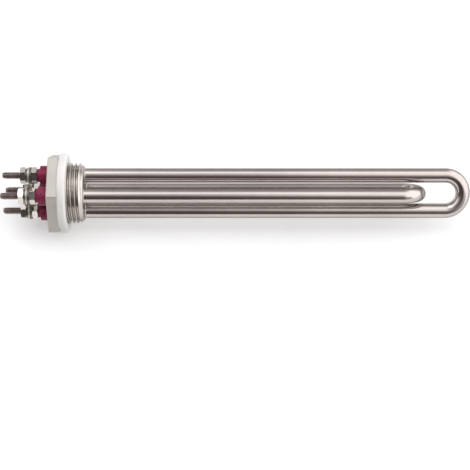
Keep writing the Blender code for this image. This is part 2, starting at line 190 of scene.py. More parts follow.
def node_points(node):
    """A solid's corner points, as rows of (x, y, z)."""
    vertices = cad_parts[node].data.vertices
    points = np.empty(len(vertices) * 3, np.float32)
    vertices.foreach_get("co", points)
    return points.reshape(-1, 3).astype(float)


def corner_clock(node, centre):
    """The clock angle of the point that lies farthest from the given axis."""
    offset = node_points(node)[:, 1:] - centre
    y, z = offset[np.argmax(np.hypot(offset[:, 0], offset[:, 1]))]
    return math.atan2(y, -z)


def split_clock(node, centre):
    """Where a spring washer's sweep starts: the clock angle of its lowest end along the axis."""
    points = node_points(node)
    lowest = points[points[:, 0] < points[:, 0].min() + SAME_PLACE, 1:] - centre
    y, z = lowest.mean(axis=0)
    return math.atan2(y, -z)


# Surfaces


def polar(along, radius, clock, centre=(0.0, 0.0)):
    """World points at the given places along, radii and clock angles round an axis at (y, z)."""
    along, radius, clock = np.broadcast_arrays(along, radius, clock)
    y = centre[0] + radius * np.sin(clock)
    z = centre[1] - radius * np.cos(clock)
    return np.stack([shoulder + along, y, z], axis=-1)


def ring_faces(rows, columns, closed):
    """Quads between neighbouring rows, whose columns close on themselves; closed joins the last
    row to the first."""
    count = rows if closed else rows - 1
    row, column = np.meshgrid(np.arange(count), np.arange(columns), indexing="ij")
    next_row = (row + 1) % rows
    next_column = (column + 1) % columns
    corners = [
        row * columns + column,
        row * columns + next_column,
        next_row * columns + next_column,
        next_row * columns + column,
    ]
    return np.stack(corners, axis=-1).reshape(-1, 4)


def cap_faces(first, columns, pole):
    """A fan of triangles from a row of points, whose first index is given, to a pole's index."""
    column = np.arange(columns)
    return np.stack([first + (column + 1) % columns, first + column, np.full(columns, pole)], axis=-1)


def enclosed(points, faces):
    """Six times the volume that triangulated faces enclose; minus where they face inwards."""
    total = 0.0
    for corners in faces:
        a = points[corners[:, 0]]
        for i in range(1, corners.shape[1] - 1):
            b = points[corners[:, i]]
            c = points[corners[:, i + 1]]
            total += np.einsum("ij,ij->", a, np.cross(b, c))
    return total


def piece_from_grid(name, grid, finish, nodes=(), closed=False, uv=None, sharp=32.0):
    """One closed piece from a (rows, columns, 3) grid of world points.

    Columns close on themselves. Unless the rows do too, each end row gets a pole at its middle.
    uv is a (rows, columns, 2) grid, kept as a point attribute, for finishes that follow the surface.
    Edges that turn by more than sharp, in degrees, are shaded sharp.
    """
    rows, columns = grid.shape[:2]
    points = grid.reshape(-1, 3)
    faces = [ring_faces(rows, columns, closed)]
    if not closed:
        poles = np.stack([grid[0].mean(axis=0), grid[-1].mean(axis=0)])
        points = np.concatenate([points, poles])
        start = cap_faces(0, columns, rows * columns)
        end = cap_faces((rows - 1) * columns, columns, rows * columns + 1)
        faces += [start, end[:, ::-1]]
    if enclosed(points, faces) < 0:
        faces = [corners[:, ::-1] for corners in faces]
    mesh = bpy.data.meshes.new(name)
    mesh.from_pydata(points.tolist(), [], [face for corners in faces for face in corners.tolist()])
    if uv is not None:
        flat = np.zeros((len(points), 3), np.float32)
        flat[: rows * columns, :2] = uv.reshape(-1, 2)
        mesh.attributes.new("surface", "FLOAT_VECTOR", "POINT").data.foreach_set("vector", flat.ravel())
    mesh.shade_smooth()
    mesh.set_sharp_from_angle(angle=math.radians(sharp))
    dress(name, mesh, finish, nodes)


def dress(name, mesh, finish, nodes):
    """Puts a finished mesh in the scene, on the body, in place of the solids it stands for."""
    mesh.materials.append(finish)
    piece = bpy.data.objects.new(name, mesh)
    bpy.context.scene.collection.objects.link(piece)
    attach(piece, BODY)
    if nodes:
        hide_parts(*nodes)


def arc(corner, back, onward, radius, steps=5):
    """The quarter circle that replaces a square corner of a profile of (radius, along) points.

    back points along the profile to where it came from, and onward to where it goes. The circle's
    centre lies one radius along both.
    """
    turn = np.linspace(0.0, math.pi / 2, steps)[:, None]
    back, onward = np.array(back, float), np.array(onward, float)
    centre = np.array(corner) + radius * (back + onward)
    return centre - radius * (onward * np.cos(turn) + back * np.sin(turn))


def turned(profile, steps, centre=(0.0, 0.0), clock=0.0):
    """A profile of (radius, along) rows turned round an axis: every row is a circle."""
    profile = np.asarray(profile, float)
    clocks = clock + np.linspace(0.0, math.tau, steps, endpoint=False)
    return polar(profile[:, 1:2], profile[:, 0:1], clocks[None, :], centre)


def ring_section(outer, bore, low, high, edge, bore_steps):
    """The section of a flat ring: a rectangle of (radius, along) points, each corner an arc."""
    return np.concatenate(
        [
            arc((outer, high), (-1, 0), (0, -1), edge, 4),
            arc((outer, low), (0, 1), (-1, 0), edge, 4),
            arc((bore, low), (1, 0), (0, 1), edge, bore_steps),
            arc((bore, high), (0, -1), (1, 0), edge, bore_steps),
        ]
    )


def thread_fall(along, clock, pitch, depth, half_angle):
    """How far a right-hand thread lies below its crest, which passes along 0 at clock angle 0.

    The form repeats once a pitch along and once a turn backwards round. Straight flanks stand at
    the half angle from the radius, and equal arcs round the crest and the root: their radius is
    what the sharp triangle loses to reach the depth, shared between both ends.
    """
    slope = 1 / math.tan(half_angle)
    rounding = (pitch / 2 * slope - depth) / (2 * (1 / math.sin(half_angle) - 1))
    place = np.mod(along / pitch - clock / math.tau, 1.0) * pitch
    from_crest = np.minimum(place, pitch - place)
    near = np.minimum(from_crest, pitch / 2 - from_crest)
    touch = rounding * math.cos(half_angle)
    curved = rounding - np.sqrt(rounding**2 - np.minimum(near, touch) ** 2)
    fall = curved + np.clip(near - touch, 0.0, None) * slope
    return np.where(from_crest < pitch / 4, fall, depth - fall)


def hexagon_outline(flat, corner_round, side_steps, corner_steps):
    """Radius and clock angle round a hexagon with rounded corners, the first at clock angle zero.

    flat is half the distance across flats. Each corner is an arc of corner_round whose centre
    lies on the corner's line, and each side is straight between two arcs.
    """
    reach = (flat - corner_round) / math.cos(math.pi / 6)
    radii, clocks = [], []
    for index in range(6):
        corner = index * math.pi / 3
        turn = corner + np.linspace(-math.pi / 6, math.pi / 6, corner_steps)
        x = reach * math.cos(corner) + corner_round * np.cos(turn)
        y = reach * math.sin(corner) + corner_round * np.sin(turn)
        end = corner + math.pi / 3
        next_x = reach * math.cos(end) + corner_round * math.cos(end - math.pi / 6)
        next_y = reach * math.sin(end) + corner_round * math.sin(end - math.pi / 6)
        share = np.linspace(0.0, 1.0, side_steps + 2)[1:-1]
        x = np.concatenate([x, x[-1] + (next_x - x[-1]) * share])
        y = np.concatenate([y, y[-1] + (next_y - y[-1]) * share])
        radii.append(np.hypot(x, y))
        clocks.append(np.arctan2(y, x))
    return np.concatenate(radii), np.concatenate(clocks)


def chamfered_hexagon(low, high, flat, corner_round, low_end, high_end, side_steps=26):
    """Rows of radius, along and clock up a hexagon between two places along.

    Each end is (edge break, corner cut): the outline draws in by a quarter circle as wide as the
    edge break, and a cone at the chamfer angle, which meets the end face one corner cut inside
    the corners, cuts whatever still lies outside it. The rows run a little past the cone.
    """
    full_corner = flat / math.cos(math.pi / 6)
    rows = []
    for place, sense, (edge_break, corner_cut) in ((low, 1, low_end), (high, -1, high_end)):
        turn = np.linspace(0.0, math.pi / 2, 6)
        up = edge_break * (1 - np.cos(turn))
        inset = edge_break * (1 - np.sin(turn))
        depth = corner_cut * math.tan(CHAMFER_ANGLE)
        more = np.linspace(edge_break, max(depth, edge_break) * CONE_OVERRUN, 9)[1:]
        up = np.concatenate([up, more])
        inset = np.concatenate([inset, np.zeros(len(more))])
        cone = full_corner - corner_cut + up / math.tan(CHAMFER_ANGLE)
        block = [(place + sense * u, i, c) for u, i, c in zip(up, inset, cone)]
        rows.append(block if sense > 0 else block[::-1])
    rows = rows[0] + rows[1]
    radii, alongs = [], []
    for along, inset, cone in rows:
        radius, clock = hexagon_outline(flat - inset, corner_round, side_steps, 5)
        radii.append(np.minimum(radius, cone))
        alongs.append(np.full(len(radius), along))
    return np.array(radii), np.array(alongs), clock


def swept_ring(section, clocks, rise, centre):
    """A closed (radius, along) section carried round an axis while it rises in step with the
    clock angle, from the first clock angle to the last: a ring with two ends."""
    share = np.linspace(0.0, 1.0, len(clocks))
    along = section[None, :, 1] + rise * share[:, None]
    radius = np.broadcast_to(section[None, :, 0], along.shape)
    return polar(along, radius, clocks[:, None], centre)


# Finishes

SUBSURFACE_DEPTH = 1.5 * MM


def new_finish(name):
    """A node material: itself, its node tree, its Principled shader and a way to add nodes."""
    material = bpy.data.materials.new(name)
    material.use_nodes = True
    tree = material.node_tree
    shader = tree.nodes["Principled BSDF"]

    def add(kind, inputs=None, **settings):
        """A new node with its settings, each input linked to a socket or set to a value."""
        node = tree.nodes.new(kind)
        for key, value in settings.items():
            setattr(node, key, value)
        for key, value in (inputs or {}).items():
            if isinstance(value, bpy.types.NodeSocket):
                tree.links.new(value, node.inputs[key])
            else:
                node.inputs[key].default_value = value
        return node

    return material, tree, shader, add


def colour_ramp(node, stops):
    """Sets a ramp's colours at the given places."""
    elements = node.color_ramp.elements
    while len(elements) > len(stops):
        elements.remove(elements[-1])
    while len(elements) < len(stops):
        elements.new(1.0)
    for element, (position, colour) in zip(elements, stops):
        element.position = position
        element.color = (*colour, 1.0)
    return node


def stretched_noise(add, coordinates, scale, detail=4.0):
    """Noise whose grain is drawn out by unlike scales along the three coordinates."""
    mapping = add("ShaderNodeMapping", {"Vector": coordinates, "Scale": scale})
    noise = add(
        "ShaderNodeTexNoise",
        {"Vector": mapping.outputs["Vector"], "Scale": 1.0, "Detail": detail, "Roughness": 0.6},
    )
    return noise.outputs["Fac"]


def ranged(add, value, low, high):
    """Noise from its usual spread, 0.3 to 0.7, to a range of values."""
    node = add(
        "ShaderNodeMapRange",
        {"Value": value, "From Min": 0.3, "From Max": 0.7, "To Min": low, "To Max": high},
    )
    return node.outputs["Result"]


def metal(name, dark, light, roughness, grain_scale, cloud_scale, bump, follows=False, edge=1.0):
    """A metal whose colour drifts between two tones by the mean of clouds and a fine grain, and
    whose gloss and relief follow the grain. follows reads the grain's place from the piece's own
    surface attribute, and an edge below 1 dulls the reflection at grazing angles, as oxide does."""
    material, tree, shader, add = new_finish(name)
    if follows:
        coordinates = add("ShaderNodeAttribute", attribute_name="surface").outputs["Vector"]
    else:
        coordinates = add("ShaderNodeTexCoord").outputs["Object"]
    position = add("ShaderNodeTexCoord").outputs["Object"]
    clouds = stretched_noise(add, position, (cloud_scale,) * 3, 3.0)
    grain = stretched_noise(add, coordinates, grain_scale, 5.0)
    mixed = add("ShaderNodeMath", {0: clouds, 1: grain}, operation="ADD").outputs["Value"]
    half = add("ShaderNodeMath", {0: mixed, 1: 0.5}, operation="MULTIPLY").outputs["Value"]
    ramp = colour_ramp(add("ShaderNodeValToRGB", {"Fac": half}), [(0.36, dark), (0.64, light)])
    tree.links.new(ramp.outputs["Color"], shader.inputs["Base Color"])
    tree.links.new(ranged(add, grain, *roughness), shader.inputs["Roughness"])
    relief = add("ShaderNodeBump", {"Height": grain, "Strength": 1.0, "Distance": bump})
    tree.links.new(relief.outputs["Normal"], shader.inputs["Normal"])
    shader.inputs["Metallic"].default_value = 1.0
    shader.inputs["Specular Tint"].default_value = (edge, edge, edge, 1.0)
    return material


def matt(name, tones, roughness, cloud_scale, grain_scale, bump, subsurface=0.0, specular=0.5):
    """A moulded or powdery finish: a cloud's noise picks the tone, and a fine grain sets the
    gloss and the relief. Light enters by the subsurface weight, and specular scales the sheen."""
    material, tree, shader, add = new_finish(name)
    position = add("ShaderNodeTexCoord").outputs["Object"]
    clouds = stretched_noise(add, position, (cloud_scale,) * 3, 4.0)
    grain = stretched_noise(add, position, (grain_scale,) * 3, 3.0)
    steps = np.linspace(0.32, 0.68, len(tones))
    ramp = colour_ramp(add("ShaderNodeValToRGB", {"Fac": clouds}), list(zip(steps, tones)))
    tree.links.new(ramp.outputs["Color"], shader.inputs["Base Color"])
    tree.links.new(ranged(add, grain, *roughness), shader.inputs["Roughness"])
    relief = add("ShaderNodeBump", {"Height": grain, "Strength": 1.0, "Distance": bump})
    tree.links.new(relief.outputs["Normal"], shader.inputs["Normal"])
    shader.inputs["Subsurface Weight"].default_value = subsurface
    shader.inputs["Subsurface Scale"].default_value = SUBSURFACE_DEPTH
    shader.inputs["Specular IOR Level"].default_value = specular
    return material


def make_finishes():
    """Every finish of the heater by its name: the record's material slots, and beside them the
    milled head's, the braze's and the spring washers' dark steel, which the inner flat washers
    also wear as painted shade."""
    return {
        "sheath_steel": metal(
            "drawn_sheath_steel",
            dark=(0.46, 0.412, 0.394),
            light=(0.56, 0.503, 0.483),
            roughness=(0.14, 0.22),
            grain_scale=(12.0, 2600.0, 1.0),
            cloud_scale=30.0,
            bump=0.004 * MM,
            follows=True,
            edge=0.3,
        ),
        "plug_steel": metal(
            "turned_plug_steel",
            dark=(0.46, 0.425, 0.40),
            light=(0.58, 0.54, 0.51),
            roughness=(0.16, 0.26),
            grain_scale=(6000.0, 250.0, 250.0),
            cloud_scale=60.0,
            bump=0.003 * MM,
            edge=0.6,
        ),
        "head_steel": metal(
            "milled_head_steel",
            dark=(0.45, 0.422, 0.395),
            light=(0.52, 0.492, 0.463),
            roughness=(0.46, 0.54),
            grain_scale=(4200.0, 320.0, 320.0),
            cloud_scale=80.0,
            bump=0.004 * MM,
        ),
        "stud_steel": metal(
            "dark_stud_steel",
            dark=(0.19, 0.145, 0.135),
            light=(0.34, 0.28, 0.265),
            roughness=(0.30, 0.45),
            grain_scale=(1800.0, 1800.0, 1800.0),
            cloud_scale=350.0,
            bump=0.004 * MM,
        ),
        "nut_steel": metal(
            "plated_nut_steel",
            dark=(0.56, 0.53, 0.495),
            light=(0.69, 0.66, 0.62),
            roughness=(0.09, 0.15),
            grain_scale=(900.0, 2600.0, 2600.0),
            cloud_scale=300.0,
            bump=0.0015 * MM,
        ),
        "washer_steel": metal(
            "plated_washer_steel",
            dark=(0.58, 0.55, 0.51),
            light=(0.72, 0.69, 0.65),
            roughness=(0.40, 0.52),
            grain_scale=(1500.0, 1500.0, 1500.0),
            cloud_scale=300.0,
            bump=0.0015 * MM,
        ),
        # Dark spring washer steel; on the inner flat washers this darker copy of the washer finish is
        # painted shade
        "dark_spring_and_painted_shade_washer": metal(
            "spring_washer_and_painted_shade_steel",
            dark=(0.15, 0.13, 0.11),
            light=(0.30, 0.27, 0.23),
            roughness=(0.26, 0.40),
            grain_scale=(1500.0, 1500.0, 1500.0),
            cloud_scale=300.0,
            bump=0.0015 * MM,
        ),
        "braze": metal(
            "brazed_joint",
            dark=(0.34, 0.31, 0.28),
            light=(0.50, 0.47, 0.43),
            roughness=(0.30, 0.45),
            grain_scale=(900.0, 900.0, 900.0),
            cloud_scale=500.0,
            bump=0.02 * MM,
        ),
        "coil_wire": metal(
            "oxidised_coil_wire",
            dark=(0.16, 0.15, 0.14),
            light=(0.34, 0.31, 0.29),
            roughness=(0.35, 0.5),
            grain_scale=(3500.0, 200.0, 200.0),
            cloud_scale=400.0,
            bump=0.05 * MM,
        ),
        "gasket_silicone": matt(
            "white_gasket_silicone",
            tones=[(0.64, 0.63, 0.615), (0.67, 0.66, 0.645), (0.70, 0.69, 0.68)],
            roughness=(0.42, 0.55),
            cloud_scale=90.0,
            grain_scale=2200.0,
            bump=0.01 * MM,
            subsurface=0.15,
        ),
        "bush_resin": matt(
            "burgundy_bush_resin",
            tones=[(0.15, 0.012, 0.038), (0.24, 0.022, 0.068), (0.30, 0.034, 0.090)],
            roughness=(0.38, 0.52),
            cloud_scale=500.0,
            grain_scale=2600.0,
            bump=0.012 * MM,
            specular=0.25,
        ),
        "end_sealant": matt(
            "cream_end_sealant",
            tones=[(0.52, 0.44, 0.31), (0.66, 0.58, 0.44)],
            roughness=(0.5, 0.7),
            cloud_scale=400.0,
            grain_scale=1800.0,
            bump=0.02 * MM,
        ),
        "magnesia": matt(
            "pressed_magnesia",
            tones=[(0.74, 0.73, 0.69), (0.83, 0.82, 0.79)],
            roughness=(0.8, 0.95),
            cloud_scale=500.0,
            grain_scale=3200.0,
            bump=0.03 * MM,
        ),
    }


# Pieces


def hexagon_head(finishes):
    """The hexagon: a cone cuts its corners at the dry face, and its edges are broken all round."""
    flat = HEXAGON_ACROSS_FLATS / 2
    radii, alongs, clock = chamfered_hexagon(
        head_face,
        0.0,
        flat,
        HEXAGON_CORNER_ROUND,
        (HEXAGON_EDGE_BREAK, HEXAGON_CORNER_CUT),
        (SHOULDER_EDGE_BREAK, 0.0),
    )
    grid = polar(alongs, radii, clock + corner_clock("screw_plug", np.zeros(2)))
    piece_from_grid("hexagon_head", grid, finishes["head_steel"], ("screw_plug",))


def threaded_shank(finishes):
    """The shank: a rounded pipe thread between the relief at the shoulder and the end chamfer.

    The radius at each place along and clock angle is the thread's, cut by the chamfer's cone, and
    by the relief, which lies below the root at the shoulder and then rises at its slope.
    """
    places = np.arange(0.0, shank_end - SHANK_END_ROUND, SHANK_ROW_PITCH)
    clocks = np.linspace(0.0, math.tau, SHANK_STEPS, endpoint=False)
    along, clock = np.meshgrid(places, clocks, indexing="ij")
    crest = THREAD_MAJOR / 2
    root = crest - THREAD_DEPTH
    turned_by = clock - THREAD_CREST_CLOCK
    thread = crest - thread_fall(
        along - THREAD_CREST_ALONG, turned_by, THREAD_PITCH, THREAD_DEPTH, THREAD_HALF_ANGLE
    )
    end = root - SHANK_END_STEP
    cone = end + (shank_end - along) * (crest - end) / SHANK_CHAMFER_LENGTH
    relief = root - RELIEF_DEPTH + np.clip(along - RELIEF_LENGTH, 0.0, None) * RELIEF_SLOPE
    radius = np.minimum(np.minimum(thread, cone), relief)
    rounding = arc((end, shank_end), (0, -1), (-1, 0), SHANK_END_ROUND)
    tail = np.concatenate([rounding, [(end * SHANK_FACE_RING, shank_end)]])
    grid = np.concatenate([polar(along, radius, clock), turned(tail, SHANK_STEPS)])
    finish = finishes["plug_steel"]
    piece_from_grid("threaded_shank", grid, finish, ("screw_plug",), sharp=50.0)


def braze_fillets(finishes):
    """A hollow quarter round of braze where each leg leaves the plug's end face, sunk a little
    into both."""
    outer = SHEATH_DIAMETER / 2 + BRAZE_FILLET
    turn = np.linspace(0.0, math.pi / 2, 7)
    hollow = np.stack(
        [outer - BRAZE_FILLET * np.sin(turn), shank_end + BRAZE_FILLET * (1 - np.cos(turn))], axis=-1
    )
    inside = SHEATH_DIAMETER / 2 - BRAZE_OVERLAP
    below = shank_end - BRAZE_OVERLAP
    profile = [*hollow, (inside, shank_end + BRAZE_FILLET), (inside, below), (outer, below)]
    for place in PLACES:
        grid = turned(profile, BRAZE_STEPS, leg_axes[place])
        piece_from_grid(f"braze_fillet_{place}", grid, finishes["braze"], closed=True)


def sealing_gasket(finishes):
    """A thick ring squeezed against the shoulder: rounded edges, and a side that bulges in a
    half sine between them."""
    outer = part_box("sealing_gasket")[1].z - GASKET_BULGE
    high = along_of("sealing_gasket")[1]
    bore = THREAD_MAJOR / 2 + GASKET_GRIP
    wet = arc((outer, high), (-1, 0), (0, -1), GASKET_WET_ROUNDING, 9)
    dry = arc((outer, 0.0), (0, 1), (-1, 0), GASKET_DRY_ROUNDING, 6)
    share = np.linspace(0.0, 1.0, 12)[1:-1]
    side = np.stack(
        [
            outer + GASKET_BULGE * np.sin(math.pi * share),
            wet[-1, 1] + (dry[0, 1] - wet[-1, 1]) * share,
        ],
        axis=-1,
    )
    bore_edge = arc((bore, high), (0, -1), (1, 0), GASKET_BORE_ROUNDING)
    profile = np.concatenate([wet, side, dry, [(bore, 0.0)], bore_edge])
    grid = turned(profile, GASKET_STEPS)
    finish = finishes["gasket_silicone"]
    piece_from_grid("gasket_ring", grid, finish, ("sealing_gasket",), closed=True)


def hairpin_sheath(length, finishes):
    """A drawn tube along a hairpin: outer and inner skins carried along one centre line.

    The centre line runs up one leg, round a half circle and down the other leg. At each of its
    points stands a circle, across the line's direction. Round the bend it is narrower in the
    bend's plane and as much taller across it, by the ovality times the sine of the turn.
    """
    first, second = (leg_axes[place] for place in HAIRPINS[length])
    node = f"{length}_hairpin_sheath"
    start, reach = along_of(node)
    middle = (first + second) / 2
    half = (first - second) / 2
    bend_radius = np.hypot(*half)
    outward = half / bend_radius
    bend_start = reach - SHEATH_DIAMETER / 2 - bend_radius

    leg = np.linspace(start, bend_start, LEG_ROWS)
    turn = np.linspace(0.0, math.pi, BEND_ROWS)[1:-1]
    along = np.concatenate([leg, bend_start + bend_radius * np.sin(turn), leg[::-1]])
    side = np.concatenate(
        [np.full(len(leg), bend_radius), bend_radius * np.cos(turn), np.full(len(leg), -bend_radius)]
    )
    line = np.stack([along, side], axis=-1)
    direction = np.gradient(line, axis=0)
    direction /= np.linalg.norm(direction, axis=1, keepdims=True)
    across = np.stack([-direction[:, 1], direction[:, 0]], axis=-1)
    bent = np.concatenate([np.zeros(len(leg)), np.sin(turn), np.zeros(len(leg))])
    travelled = np.concatenate([[0.0], np.cumsum(np.linalg.norm(np.diff(line, axis=0), axis=1))])

    clock = np.linspace(0.0, math.tau, SHEATH_STEPS, endpoint=False)
    binormal = np.array([0.0, -outward[1], outward[0]])

    def skin(radius):
        """World points of the oval circles of the given radius, one at each point of the line."""
        wide = radius * (1 - BEND_OVALITY * bent)[:, None]
        tall = radius * (1 + BEND_OVALITY * bent)[:, None]
        in_plane = line[:, None, :] + across[:, None, :] * (wide * np.cos(clock))[:, :, None]
        x = shoulder + in_plane[:, :, 0]
        yz = middle + in_plane[:, :, 1:2] * outward
        return np.concatenate([x[:, :, None], yz], axis=-1) + (tall * np.sin(clock))[:, :, None] * binormal

    outer = skin(SHEATH_DIAMETER / 2)
    inner = skin(SHEATH_DIAMETER / 2 - SHEATH_WALL)[::-1]
    grid = np.concatenate([outer, inner])
    around = (clock * SHEATH_DIAMETER / 2)[None, :]
    uv_outer = np.stack(np.broadcast_arrays(travelled[:, None], around), axis=-1)
    uv = np.concatenate([uv_outer, uv_outer[::-1]])
    finish = finishes["sheath_steel"]
    piece_from_grid(f"{length}_sheath_tube", grid, finish, (node,), closed=True, uv=uv)


def insulating_bush(place, finishes):
    """A stepped moulding, turned: a collar over the sheath's end with a rounded edge, a nose that
    carries the inner nut, a bore for the stud and a socket for the sheath. The inner corner
    between collar and nose is two points, one a hair inside each."""
    node = f"insulating_bush_{place}"
    end, start = along_of(node)
    start += SEAT_GAP
    collar = (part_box(node)[1].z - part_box(node)[0].z) / 2
    nose = BUSH_NOSE_DIAMETER / 2
    step = end + BUSH_NOSE_LENGTH
    socket = BUSH_SOCKET_DIAMETER / 2
    socket_end = head_face - SHEATH_STANDS_OUT - SEAT_GAP
    profile = np.concatenate(
        [
            [(collar, start)],
            arc((collar, step), (0, 1), (-1, 0), BUSH_COLLAR_ROUNDING, 7),
            [(nose - BUSH_STEP_SPLIT, step), (nose, step + BUSH_STEP_SPLIT)],
            arc((nose, end), (0, 1), (-1, 0), BUSH_NOSE_ROUNDING, 6),
            [(BUSH_BORE / 2, end), (BUSH_BORE / 2, socket_end), (socket, socket_end), (socket, start)],
        ]
    )
    grid = turned(profile, BUSH_STEPS, leg_axes[place])
    piece_from_grid(f"bush_{place}", grid, finishes["bush_resin"], (node,), closed=True)


def terminal_stud(place, finishes):
    """A rolled thread from its tapered tip to the neck, then the plain cold pin to the coil.

    The tip falls away by a power of the share of its length that still lies ahead. Each stud's
    thread is turned one radian on from the last one's.
    """
    node = f"terminal_stud_{place}"
    tip, pin_end = along_of(node)
    neck = head_face - SHEATH_STANDS_OUT - PIN_NECK
    places = np.arange(tip, neck, STUD_ROW_PITCH)
    clocks = np.linspace(0.0, math.tau, STUD_STEPS, endpoint=False)
    along, clock = np.meshgrid(places, clocks, indexing="ij")
    turned_by = clock + PLACES.index(place)
    thread = STUD_DIAMETER / 2 - thread_fall(
        along - tip, turned_by, STUD_PITCH, STUD_THREAD_DEPTH, STUD_THREAD_HALF_ANGLE
    )
    into_tip = np.clip(1 - (along - tip) / STUD_TIP_LENGTH, 0.0, 1.0)
    nose = STUD_DIAMETER / 2 - STUD_TIP_FALL * into_tip**STUD_TIP_POWER
    radius = np.minimum(thread, nose)
    pin = PIN_DIAMETER / 2
    tail = turned([(pin, neck), (pin, neck + PIN_START), (pin, pin_end)], STUD_STEPS)
    grid = np.concatenate([polar(along, radius, clock), tail])
    grid[:, :, 1:] += leg_axes[place]
    piece_from_grid(f"stud_{place}", grid, finishes["stud_steel"], (node,), sharp=60.0)


def nut(which, place, finishes):
    """A hexagon nut: both ends turned to the chamfer cone, the bore countersunk to its thread."""
    node = f"{which}_nut_{place}"
    low, high = along_of(node)
    centre = leg_axes[place]
    end = (NUT_EDGE_BREAK, NUT_CORNER_CUT)
    radii, alongs, clock = chamfered_hexagon(
        low, high, NUT_ACROSS_FLATS / 2, NUT_CORNER_ROUND, end, end, side_steps=16
    )
    bore = NUT_BORE / 2
    inside = [
        (bore + NUT_COUNTERSINK, high),
        (bore, high - NUT_COUNTERSINK),
        (bore, low + NUT_COUNTERSINK),
        (bore + NUT_COUNTERSINK, low),
    ]
    for radius, along in inside:
        radii = np.concatenate([radii, np.full((1, len(clock)), radius)])
        alongs = np.concatenate([alongs, np.full((1, len(clock)), along)])
    grid = polar(alongs, radii, clock + corner_clock(node, centre), centre)
    finish = finishes["nut_steel"]
    piece_from_grid(f"{which}_hexagon_nut_{place}", grid, finish, (node,), closed=True)


def flat_washer(which, place, finishes):
    """A punched ring with its edges a little rounded."""
    node = f"{which}_washer_{place}"
    low, high = along_of(node)
    box_low, box_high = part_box(node)
    outer = (box_high.z - box_low.z) / 2
    profile = ring_section(outer, WASHER_BORE / 2, low, high, WASHER_EDGE_ROUND, bore_steps=3)
    grid = turned(profile, WASHER_STEPS, leg_axes[place])
    # The inner flat washer gets the darker finish as painted shade; the outer one, the same part, stays
    # bright
    finish = finishes["washer_steel" if which == "outer" else "dark_spring_and_painted_shade_washer"]
    piece_from_grid(f"{which}_flat_washer_{place}", grid, finish, (node,), closed=True)


def spring_washer(place, finishes):
    """A split ring of rounded square wire, its two ends a little apart along the axis."""
    node = f"spring_washer_{place}"
    low, high = along_of(node)
    centre = leg_axes[place]
    points = node_points(node)
    outer = np.hypot(*(points[:, 1:] - centre).T).max()
    top = high - SPRING_WASHER_RISE
    section = ring_section(outer, WASHER_BORE / 2, low, top, SPRING_WASHER_EDGE_ROUND, bore_steps=4)
    sweep = np.linspace(0.0, math.tau - SPRING_WASHER_SPLIT, WASHER_STEPS)
    grid = swept_ring(section, split_clock(node, centre) + sweep, SPRING_WASHER_RISE, centre)
    piece_from_grid(f"split_washer_{place}", grid, finishes["dark_spring_and_painted_shade_washer"], (node,))


def keep_solid(node, finish):
    """A solid that stays as it is and gets its finish."""
    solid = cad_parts[node]
    solid.data.materials.clear()
    solid.data.materials.append(finish)


# Floor, light and camera


def white_floor():
    """A wide white floor just under the heater. To the camera, and in what mirrors or bends light,
    it also glows by the floor's lift, so that it reads as white and still keeps its shadow."""
    material, tree, shader, add = new_finish("white_floor")
    position = add("ShaderNodeTexCoord").outputs["Object"]
    paper = stretched_noise(add, position, (60.0, 60.0, 60.0), 4.0)
    ramp = colour_ramp(add("ShaderNodeValToRGB", {"Fac": paper}), list(zip((0.3, 0.7), FLOOR_TONES)))
    tree.links.new(ramp.outputs["Color"], shader.inputs["Base Color"])
    shader.inputs["Roughness"].default_value = 0.8
    shader.inputs["Specular IOR Level"].default_value = 0.0
    path = add("ShaderNodeLightPath").outputs
    seen = path["Is Camera Ray"]
    for other in ("Is Glossy Ray", "Is Transmission Ray"):
        seen = add("ShaderNodeMath", {0: seen, 1: path[other]}, operation="MAXIMUM").outputs["Value"]
    lift = add("ShaderNodeMath", {0: seen, 1: FLOOR_LIFT}, operation="MULTIPLY").outputs["Value"]
    shader.inputs["Emission Color"].default_value = (1.0, 1.0, 1.0, 1.0)
    tree.links.new(lift, shader.inputs["Emission Strength"])
    height = cad_low.z - FLOOR_GAP
    square = ((-1, -1), (1, -1), (1, 1), (-1, 1))
    corners = [(x * FLOOR_HALF_SIDE, y * FLOOR_HALF_SIDE, height) for x, y in square]
    mesh = bpy.data.meshes.new("floor")
    mesh.from_pydata(corners, [], [(0, 1, 2, 3)])
    mesh.materials.append(material)
    floor = bpy.data.objects.new("floor", mesh)
    bpy.context.scene.collection.objects.link(floor)


# The studio round the heater, by the angle that climbs from the near side's horizon over the top
# to the far side's. Each stop is (angle in degrees, strength, tint). Over the middle and the left
# hangs one softbox. A narrow slice on the left, which the terminals mirror, has a brighter strip.
# To the right the softbox widens and reaches lower, and past the hairpins' end stands another,
# whose middle is even.
NEUTRAL = (1.0, 1.0, 1.0)
WARM = (1.0, 0.86, 0.84)
STUDIO_LEFT = (
    (-180.0, 0.47, NEUTRAL),
    (-12.0, 0.38, NEUTRAL),
    (4.0, 0.14, WARM),
    (14.0, 0.09, WARM),
    (34.0, 0.09, WARM),
    (48.0, 0.16, WARM),
    (62.0, 0.39, NEUTRAL),
    (78.0, 0.77, NEUTRAL),
    (92.0, 1.06, NEUTRAL),
    (102.0, 1.83, NEUTRAL),
    (112.0, 1.83, NEUTRAL),
    (122.0, 0.85, NEUTRAL),
    (134.0, 0.53, NEUTRAL),
    (152.0, 0.46, NEUTRAL),
    (168.0, 0.37, NEUTRAL),
    (180.0, 0.32, NEUTRAL),
)
STUDIO_STRIP = (
    (-180.0, 0.47, NEUTRAL),
    (-12.0, 0.38, NEUTRAL),
    (4.0, 0.12, WARM),
    (14.0, 0.08, WARM),
    (44.0, 0.08, WARM),
    (68.0, 0.08, WARM),
    (80.0, 0.90, NEUTRAL),
    (92.0, 1.90, NEUTRAL),
    (102.0, 2.80, NEUTRAL),
    (120.0, 2.30, NEUTRAL),
    (134.0, 1.40, NEUTRAL),
    (152.0, 1.00, NEUTRAL),
    (168.0, 0.90, NEUTRAL),
    (180.0, 0.40, NEUTRAL),
)
